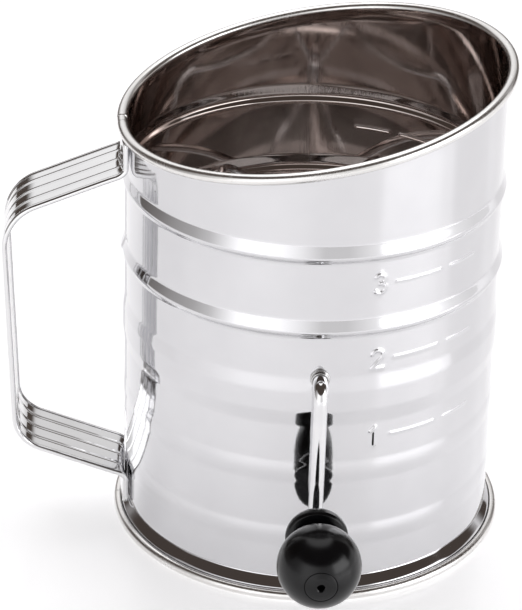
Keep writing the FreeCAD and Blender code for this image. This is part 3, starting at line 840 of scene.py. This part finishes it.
# ------------------------------------------------------------------ knob and its plug
KC, KR = 86.2, 12.0
KX, KZ = KN[0], KN[2]
pf = KC + sqrt(KR ** 2 - 4.7 ** 2)
a_in = atan2(4.6 + 0.42, -sqrt(KR ** 2 - (4.6 + 0.42) ** 2))
a_out = atan2(4.7 + 0.22, sqrt(KR ** 2 - (4.7 + 0.22) ** 2))
ball = [(KR * sin(a_in + (a_out - a_in) * t / 56), KC + KR * cos(a_in + (a_out - a_in) * t / 56)) for t in range(57)]
fl = fillet2([(2.18, 68.4, 0.25), (7.5, 68.4, 0.9), (8.6, 69.05, 1.2), (9.0, 70.5, 0.8), (9.0, 71.7, 0.45), (8.45, 72.45, 0.5), (7.2, 72.85, 0.6), (5.0, 73.2, 0.8),
              (4.6, 74.2, 0.7), (4.6, 75.0, 0)], False, 6)
fl[0] = (2.18, 68.6)
neck = [(4.62, 75.10), (4.72, 75.19), (4.86, 75.26)]
pocket = fillet2([(ball[-1][0], ball[-1][1], 0), (4.7, pf - 0.03, 0.16), (4.7, 90.9, 0.2), (2.18, 90.9, 0.15), (2.18, 80.0, 0)], False, 5)[1:]
kl = np.concatenate([fl, np.array(neck), np.array(ball), pocket])


def mould_line(R, H, T):
    """a hair-thin flash line where the two halves of the mould met"""
    on = (R > 3.0) & (H < 97.4)
    return R + np.where(on, 0.022 * np.exp(-(np.sin(T - 0.35) / 0.018) ** 2), 0.0), H


kl = densify(kl, 1.0)
lathe("knob", kl, 160, about_y(KX, KZ, -1), "knob", KNOB_MAT, ("knob_body",), radial=mould_line)
cr = lambda r: KC + sqrt(KR * KR - r * r) - 0.10
cap_loop = fillet2([(1.0, 94.2, 0.1), (4.6, 94.2, 0.2), (4.6, cr(4.6), 0.22), (4.0, cr(4.0), 0.3), (3.0, cr(3.0), 0.5), (2.0, cr(2.0), 0.5), (1.35, cr(1.35), 0.2), (1.0, cr(1.0) - 0.35, 0.15)], True, 5)
lathe("knob_plug", densify(cap_loop, 0.6), 96, about_y(KX, KZ, -1), "knob", KNOB_MAT, ("knob_cap",))

# ------------------------------------------------------------------ woven screen and its binding ring
r1_, z0_ = 140.0, 32.0
a1_ = asin(38.0 / r1_)
z1_ = z0_ + r1_ * (1 - cos(a1_))
ro = 53.2
r2_ = (ro - 38.0) / (1 - sin(a1_))
cz_ = z1_ + r2_ * cos(a1_)
cx_ = ro - r2_
L1, L2 = r1_ * a1_, r1_ * a1_ + r2_ * (pi / 2 - a1_)
LMAX = L2 + (RING_HI[2] - 1.2 - cz_)


def dish(X, Yy, off):
    """flat cloth (X, Y) drawn into the dish; off lifts it along the cloth's normal"""
    rho = np.hypot(X, Yy)
    ph = np.arctan2(Yy, X)
    a = np.where(rho < L1, rho / r1_, np.minimum(a1_ + (rho - L1) / r2_, pi / 2))
    r = np.where(rho < L1, r1_ * np.sin(a), np.where(rho < L2, cx_ + r2_ * np.sin(a), ro))
    z = np.where(rho < L1, z0_ + r1_ * (1 - np.cos(a)), np.where(rho < L2, cz_ - r2_ * np.cos(a), cz_ + rho - L2))
    o = off - 0.4
    r2 = r - np.sin(a) * o
    z2 = z + np.cos(a) * o
    return np.stack([r2 * np.cos(ph), r2 * np.sin(ph), z2], -1)


PITCH, WD, SIDES = 1.8, 0.2, 5
Vs, Fs, base = [], [], 0
nw = int(LMAX / PITCH)
ph5 = np.linspace(0, 2 * pi, SIDES, endpoint=False)
for direction in (0, 1):
    for i in range(-nw, nw + 1):
        u = i * PITCH
        vmax = sqrt(max(LMAX ** 2 - u * u, 0))
        nk = int(vmax / (PITCH / 3))
        if nk < 3:
            continue
        v_ = np.arange(-nk, nk + 1) * (PITCH / 3)
        sg = (-1) ** (i % 2) * (1 if direction == 0 else -1)
        off = 0.21 * np.cos(pi * v_ / PITCH) * sg
        uu = np.full_like(v_, u)
        C = dish(uu, v_, off) if direction == 0 else dish(v_, uu, off)
        Cn = dish(uu, v_, off + 0.1) if direction == 0 else dish(v_, uu, off + 0.1)
        N = Cn - C
        N /= np.linalg.norm(N, axis=1)[:, None]
        T = np.gradient(C, axis=0)
        T /= np.linalg.norm(T, axis=1)[:, None]
        B = np.cross(T, N)
        B /= np.linalg.norm(B, axis=1)[:, None]
        N = np.cross(B, T)
        rg = C[:, None, :] + WD * (np.cos(ph5)[None, :, None] * N[:, None, :] + np.sin(ph5)[None, :, None] * B[:, None, :])
        n = len(v_)
        Vs.append(rg.reshape(-1, 3))
        Fs.append(grid_faces(n, SIDES, False, True, base))
        # five-sided ends
        e0 = base + np.arange(SIDES)
        e1 = base + (n - 1) * SIDES + np.arange(SIDES)
        Fs.append(("t", np.array([[e0[0], e0[1], e0[2]], [e0[0], e0[2], e0[3]], [e0[0], e0[3], e0[4]]])))
        Fs.append(("t", np.array([[e1[0], e1[2], e1[1]], [e1[0], e1[3], e1[2]], [e1[0], e1[4], e1[3]]])))
        base += n * SIDES
quads = np.concatenate([f for f in Fs if not isinstance(f, tuple)])
tris = np.concatenate([f[1] for f in Fs if isinstance(f, tuple)])
build("woven_screen", np.concatenate(Vs), [quads, tris], "root", SCREEN_MAT, ("sieve_screen",), sharp=None)

seat = CAN_R - WALL_T + BAND_D - 0.05
rt = RING_HI[2]
rl = fillet2([(ro - 0.55, BAND0 + 0.5, 0.12), (ro - 0.06, BAND0 + 0.5, 0.12), (ro - 0.06, rt - 0.55, 0.1), (54.04, rt - 0.55, 0.1), (54.04, BAND0 + 1.4, 0.1), (seat, BAND0 + 1.4, 0.15),
              (seat, rt, 0.42), (ro - 0.55, rt, 0.42)], True, 5)
# the band takes the inside steel, with its painted shade
lathe("screen_band", densify(rl, 1.0), 240, about_z, "root", IN_SHADED_MAT, ("screen_ring",))

# the hubs keep their solids' shapes
for n in ("agitator_hub_front", "agitator_hub_rear"):
    o = frame["nodes"][n]
    o.data.materials.clear()
    o.data.materials.append(FIT_MAT)

# ------------------------------------------------------------------ floor
bpy.ops.mesh.primitive_circle_add(vertices=128, radius=1.0, fill_type="NGON", location=(0, 0, 0))
floor = bpy.context.object
floor.name = "floor"
floor.data.materials.append(FLOOR_MAT)

# ------------------------------------------------------------------ studio light: a soft surround, pale behind, dim on the camera side, two softboxes
CAM_AZ = -3.47
w = bpy.data.worlds.new("studio")
bpy.context.scene.world = w
w.use_nodes = True
nt = w.node_tree
for n in list(nt.nodes):
    nt.nodes.remove(n)
wo = node(nt, "ShaderNodeOutputWorld")
bg = node(nt, "ShaderNodeBackground")
nt.links.new(bg.outputs[0], wo.inputs[0])
tc = node(nt, "ShaderNodeTexCoord")
sep = node(nt, "ShaderNodeSeparateXYZ")
nt.links.new(tc.outputs["Generated"], sep.inputs[0])


def math_(op, a, b_=None, clamp=False):
    n = node(nt, "ShaderNodeMath", operation=op, use_clamp=clamp)
    for i, x in enumerate((a, b_)):
        if x is None:
            continue
        if isinstance(x, (int, float)):
            n.inputs[i].default_value = x
        else:
            nt.links.new(x, n.inputs[i])
    return n.outputs[0]


def smooth(x, a, b_):
    n = node(nt, "ShaderNodeMapRange", interpolation_type="SMOOTHSTEP")
    n.inputs["From Min"].default_value = a
    n.inputs["From Max"].default_value = b_
    nt.links.new(x, n.inputs["Value"])
    return n.outputs[0]


# azimuth round the object from the camera side, positive to the right; elevation; both in degrees
negy = math_("MULTIPLY", sep.outputs[1], -1.0)
az0 = math_("MULTIPLY", math_("ARCTAN2", sep.outputs[0], negy), 180 / pi)
az = math_("SUBTRACT", az0, CAM_AZ)
el = math_("MULTIPLY", math_("ARCSINE", sep.outputs[2]), 180 / pi)
abs_az = math_("ABSOLUTE", az)


def patch(a0, a1, e0, e1, soft):
    s = math_("MULTIPLY", smooth(az, a0 - soft, a0 + soft), math_("SUBTRACT", 1.0, smooth(az, a1 - soft, a1 + soft)))
    t = math_("MULTIPLY", smooth(el, e0 - soft, e0 + soft), math_("SUBTRACT", 1.0, smooth(el, e1 - soft, e1 + soft)))
    return math_("MULTIPLY", s, t)


# the surround's brightness by azimuth, and where it gives way to the dark ceiling
ROUND = [(-180, 0.56), (-165, 0.62), (-138, 0.58), (-128, 0.14), (-122, 0.05), (-118, 0.05), (-112, 0.07), (-98, 0.125), (-86, 0.21), (-71, 0.285), (-60, 0.42), (-50, 0.68),
         (-40, 0.97), (-30, 1.0), (-20, 0.92), (-7, 0.73), (7, 0.47), (21, 0.47), (37, 0.66), (50, 1.0), (72, 1.0), (88, 0.67), (105, 0.56), (124, 0.60), (134, 0.30), (145, 0.06),
         (156, 0.42), (170, 0.50), (180, 0.56)]
turn = math_("DIVIDE", math_("ADD", az, 180.0), 360.0)
around = ramp(nt, turn, [((a + 180) / 360, (g, g, g)) for a, g in ROUND])
# its upper edge: about 40 degrees in front and behind, much lower at the two sides
side = math_("MULTIPLY", smooth(abs_az, 78.0, 92.0), math_("SUBTRACT", 1.0, smooth(abs_az, 126.0, 136.0)))
rear = smooth(abs_az, 126.0, 136.0)
over = math_("SUBTRACT", el, math_("ADD", math_("SUBTRACT", 25.0, math_("MULTIPLY", side, 17.0)), math_("MULTIPLY", rear, 29.0)))
below = math_("SUBTRACT", 1.0, smooth(over, 0.0, 9.0))
# behind, a dark strip between the table and the pale backdrop
low = math_("SUBTRACT", 1.0, math_("MULTIPLY", rear, math_("SUBTRACT", 1.0, smooth(el, 8.0, 17.0))))
back = math_("MULTIPLY", math_("MULTIPLY", around, below), low)


def add_scaled(prev, fac, colour):
    n = node(nt, "ShaderNodeMix", data_type="RGBA", blend_type="ADD")
    n.inputs[0].default_value = 1.0
    n.clamp_result = False
    s = node(nt, "ShaderNodeVectorMath", operation="SCALE")
    s.inputs[0].default_value = colour
    nt.links.new(fac, s.inputs[3])
    if isinstance(prev, tuple):
        n.inputs[6].default_value = (*prev, 1)
    else:
        nt.links.new(prev, n.inputs[6])
    nt.links.new(s.outputs[0], n.inputs[7])
    return n.outputs[2]


col = add_scaled((0.075, 0.060, 0.052), back, (1.57, 1.58, 1.60))
col = add_scaled(col, patch(42, 93, 5, 29, 3), (1.8, 1.8, 1.82))
# a soft overhead panel, a little behind the object
dot = node(nt, "ShaderNodeVectorMath", operation="DOT_PRODUCT")
dot.inputs[1].default_value = (0.0, cos(radians(70.0)), sin(radians(70.0)))
nt.links.new(tc.outputs["Generated"], dot.inputs[0])
off = math_("MULTIPLY", math_("ARCCOSINE", dot.outputs["Value"], clamp=False), 180 / pi)
col = add_scaled(col, math_("SUBTRACT", 1.0, smooth(off, 21.0, 31.0)), (1.5, 1.5, 1.52))
# past the table's edge the backdrop is plain white
lp = node(nt, "ShaderNodeLightPath")
see = node(nt, "ShaderNodeMix", data_type="RGBA")
nt.links.new(lp.outputs["Is Camera Ray"], see.inputs[0])
nt.links.new(col, see.inputs[6])
see.inputs[7].default_value = (1.0, 1.0, 1.0, 1.0)
nt.links.new(see.outputs[2], bg.inputs[0])
bg.inputs[1].default_value = 1.0
w.cycles.sampling_method = "MANUAL"
w.cycles.sample_map_resolution = 1024

sc = bpy.context.scene
sc.view_settings.view_transform = "Standard"
sc.view_settings.look = "None"
sc.cycles.max_bounces = 16
sc.cycles.glossy_bounces = 12
sc.cycles.diffuse_bounces = 4

# ------------------------------------------------------------------ camera
cam_d = bpy.data.cameras.new("camera")
cam = bpy.data.objects.new("camera", cam_d)
sc.collection.objects.link(cam)
cam_d.sensor_width = 36.0
cam_d.lens = 194.662
cam_d.clip_start, cam_d.clip_end = 0.05, 50.0
right = Vector((0.99926, -0.03297, 0.01980))
up = Vector((-0.00202, 0.46909, 0.88315))
fwd = Vector((0.03841, 0.88253, -0.46868)).normalized()
right = fwd.cross(up).normalized()
up = right.cross(fwd).normalized()
cam.matrix_world = Matrix.Translation(Vector((-52.592, -868.392, 528.692)) * MM) @ Matrix((right, up, -fwd)).transposed().to_4x4()
sc.camera = cam
